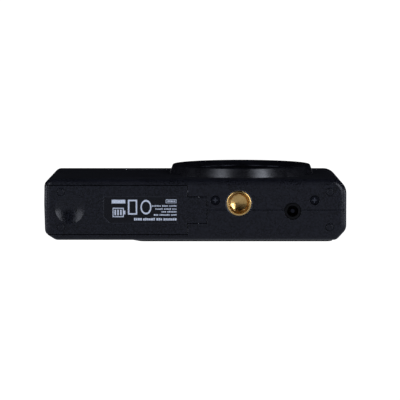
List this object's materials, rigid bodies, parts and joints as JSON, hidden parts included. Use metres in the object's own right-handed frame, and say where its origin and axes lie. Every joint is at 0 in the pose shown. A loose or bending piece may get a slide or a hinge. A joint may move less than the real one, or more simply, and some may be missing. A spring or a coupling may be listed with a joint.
{
  "type": "compact digital camera",
  "caption": "Compact zoom camera with telescoping lens, sliding and hinged battery door, tripod bush, DC socket and screen back.",
  "frame": {"origin": "centre of the footprint, on the plane of the raised screen rim that the camera lies on", "axes": "+X along the body, -Y out of the base with the tripod bush, +Z along the optical axis towards the subject"},
  "size_m": [0.097, 0.0582, 0.0235],
  "materials": {
    "shell": "fine spark-eroded matt black",
    "door": "fine spark-eroded matt black",
    "keys": "satin black",
    "dark_plastic": "plain black",
    "lens_ring": "satin black, turned",
    "barrel": "black anodised",
    "brass": "turned brass",
    "steel": "pressed steel",
    "black_steel": "blackened screws",
    "label": "printed polyester label",
    "glass": "coated glass",
    "window": "frosted window",
    "screen": "dark display",
    "board": "green laminate",
    "chip": "moulded epoxy",
    "battery": "sleeved cell",
    "gear": "natural acetal",
    "rubber": "soft black"
  },
  "bodies": {
    "camera_body": {"front_shell": "shell", "rear_shell": "shell", "top_cover": "keys", "top_board": "board", "speaker": "dark_plastic", "lens_trim_ring": "lens_ring", "lens_housing": "dark_plastic", "image_sensor": "chip", "zoom_motor": "steel", "main_board": "board", "board_chips": "chip", "lcd_window": "glass", "lcd_module": "screen", "lcd_tray": "steel", "battery_box": "dark_plastic", "battery": "battery", "battery_contacts": "brass", "memory_card": "chip", "card_reader": "steel", "tripod_bush": "brass", "base_bracket": "steel", "dc_jack": "dark_plastic", "dc_jack_pin": "brass", "base_screws": "black_steel", "side_screws": "black_steel", "flash_window": "window", "flash_reflector": "steel", "flash_tube": "window", "flash_capacitor": "battery", "af_lamp_window": "window", "rear_key_board": "board", "usb_connector": "steel", "strap_bar": "steel"},
    "door_carrier": {"door_carrier": "dark_plastic", "hinge_pin": "steel"},
    "battery_door": {"battery_door": "door", "door_label": "label"},
    "cam_ring": {"cam_ring": "dark_plastic"},
    "idler_gear": {"idler_gear": "gear"},
    "motor_pinion": {"motor_pinion": "brass"},
    "outer_barrel": {"outer_barrel": "barrel"},
    "inner_barrel": {"inner_barrel": "barrel", "barrel_face": "dark_plastic", "front_lens": "glass"},
    "barrier_blade_a": {"barrier_blade_a": "black_steel"},
    "barrier_blade_b": {"barrier_blade_b": "black_steel"},
    "zoom_group": {"zoom_group_holder": "dark_plastic", "zoom_group_lens": "glass"},
    "shutter_button": {"shutter_button": "barrel"},
    "zoom_lever": {"zoom_lever": "keys"},
    "power_button": {"power_button": "keys"},
    "nav_rocker": {"nav_rocker": "rubber"},
    "nav_pad": {"nav_pad": "keys"},
    "ok_button": {"ok_button": "keys"},
    "play_button": {"play_button": "keys"},
    "menu_button": {"menu_button": "keys"},
    "delete_button": {"delete_button": "keys"},
    "movie_button": {"movie_button": "keys"},
    "battery_latch": {"battery_latch": "dark_plastic"},
    "port_cover": {"port_cover": "rubber"}
  },
  "joints": [
    {"name": "door_slide", "type": "slide", "parent": "camera_body", "child": "door_carrier", "axis": [-1, 0, 0], "range_m": [0, 0.003]},
    {"name": "door_swing", "type": "hinge", "parent": "door_carrier", "child": "battery_door", "pos_m": [0.001, -0.02655, 0.0104], "axis": [0, 0, 1], "range_deg": [0, 95]},
    {"name": "battery_latch_slide", "type": "slide", "parent": "camera_body", "child": "battery_latch", "axis": [0, 0, 1], "range_m": [0, 0.001], "stiffness_N_per_m": 200},
    {"name": "cam_ring_turn", "type": "hinge", "parent": "camera_body", "child": "cam_ring", "pos_m": [0.0152, -0.00075, 0.01], "axis": [0, 0, 1], "range_deg": [0, 70]},
    {"name": "idler_spin", "type": "hinge", "parent": "camera_body", "child": "idler_gear", "pos_m": [0.03397, 0.015, 0.007], "axis": [0, 0, 1], "range_deg": [-275, 2]},
    {"name": "pinion_spin", "type": "hinge", "parent": "camera_body", "child": "motor_pinion", "pos_m": [0.04149, 0.01773, 0.007], "axis": [0, 0, 1], "range_deg": [-2, 458]},
    {"name": "outer_barrel_slide", "type": "slide", "parent": "camera_body", "child": "outer_barrel", "axis": [0, 0, 1], "range_m": [0, 0.012]},
    {"name": "inner_barrel_slide", "type": "slide", "parent": "camera_body", "child": "inner_barrel", "axis": [0, 0, 1], "range_m": [0, 0.023]},
    {"name": "zoom_group_slide", "type": "slide", "parent": "camera_body", "child": "zoom_group", "axis": [0, 0, 1], "range_m": [0, 0.006]},
    {"name": "blade_a_turn", "type": "hinge", "parent": "inner_barrel", "child": "barrier_blade_a", "pos_m": [0.0032, 0.00075, 0.0199], "axis": [0, 0, 1], "range_deg": [0, 30]},
    {"name": "blade_b_turn", "type": "hinge", "parent": "inner_barrel", "child": "barrier_blade_b", "pos_m": [0.0272, -0.00225, 0.0199], "axis": [0, 0, 1], "range_deg": [0, 30]},
    {"name": "shutter_press", "type": "slide", "parent": "camera_body", "child": "shutter_button", "axis": [0, -1, 0], "range_m": [0, 0.0008], "stiffness_N_per_m": 300},
    {"name": "zoom_lever_turn", "type": "hinge", "parent": "camera_body", "child": "zoom_lever", "pos_m": [-0.033, 0.0279, 0.0105], "axis": [0, 1, 0], "range_deg": [-15, 15], "stiffness_Nm_per_rad": 0.02},
    {"name": "power_press", "type": "slide", "parent": "camera_body", "child": "power_button", "axis": [0, -1, 0], "range_m": [0, 0.0004], "stiffness_N_per_m": 300},
    {"name": "nav_rock_up_down", "type": "hinge", "parent": "camera_body", "child": "nav_rocker", "pos_m": [-0.0335, -0.006, 0.0024], "axis": [1, 0, 0], "range_deg": [-2, 2], "stiffness_Nm_per_rad": 0.1},
    {"name": "nav_rock_left_right", "type": "hinge", "parent": "nav_rocker", "child": "nav_pad", "pos_m": [-0.0335, -0.006, 0.0024], "axis": [0, 1, 0], "range_deg": [-2, 2], "stiffness_Nm_per_rad": 0.1},
    {"name": "ok_press", "type": "slide", "parent": "camera_body", "child": "ok_button", "axis": [0, 0, 1], "range_m": [0, 0.0004], "stiffness_N_per_m": 300},
    {"name": "play_press", "type": "slide", "parent": "camera_body", "child": "play_button", "axis": [0, 0, 1], "range_m": [0, 0.0004], "stiffness_N_per_m": 300},
    {"name": "menu_press", "type": "slide", "parent": "camera_body", "child": "menu_button", "axis": [0, 0, 1], "range_m": [0, 0.0004], "stiffness_N_per_m": 300},
    {"name": "delete_press", "type": "slide", "parent": "camera_body", "child": "delete_button", "axis": [0, 0, 1], "range_m": [0, 0.0004], "stiffness_N_per_m": 300},
    {"name": "movie_press", "type": "slide", "parent": "camera_body", "child": "movie_button", "axis": [0, 0, 1], "range_m": [0, 0.0004], "stiffness_N_per_m": 300},
    {"name": "port_cover_swing", "type": "hinge", "parent": "camera_body", "child": "port_cover", "pos_m": [0.04835, -0.004, 0.00665], "axis": [0, 1, 0], "range_deg": [0, 110]}
  ],
  "couplings": [
    {"joint": "idler_spin", "follows": "cam_ring_turn", "ratio": -3.9},
    {"joint": "pinion_spin", "follows": "cam_ring_turn", "ratio": 6.5},
    {"joint": "outer_barrel_slide", "follows": "cam_ring_turn", "m_per_rad": 0.009822},
    {"joint": "inner_barrel_slide", "follows": "cam_ring_turn", "m_per_rad": 0.018825},
    {"joint": "zoom_group_slide", "follows": "cam_ring_turn", "m_per_rad": 0.004911},
    {"joint": "blade_a_turn", "follows": "cam_ring_turn", "ratio": 0.4285},
    {"joint": "blade_b_turn", "follows": "cam_ring_turn", "ratio": 0.4285}
  ]
}
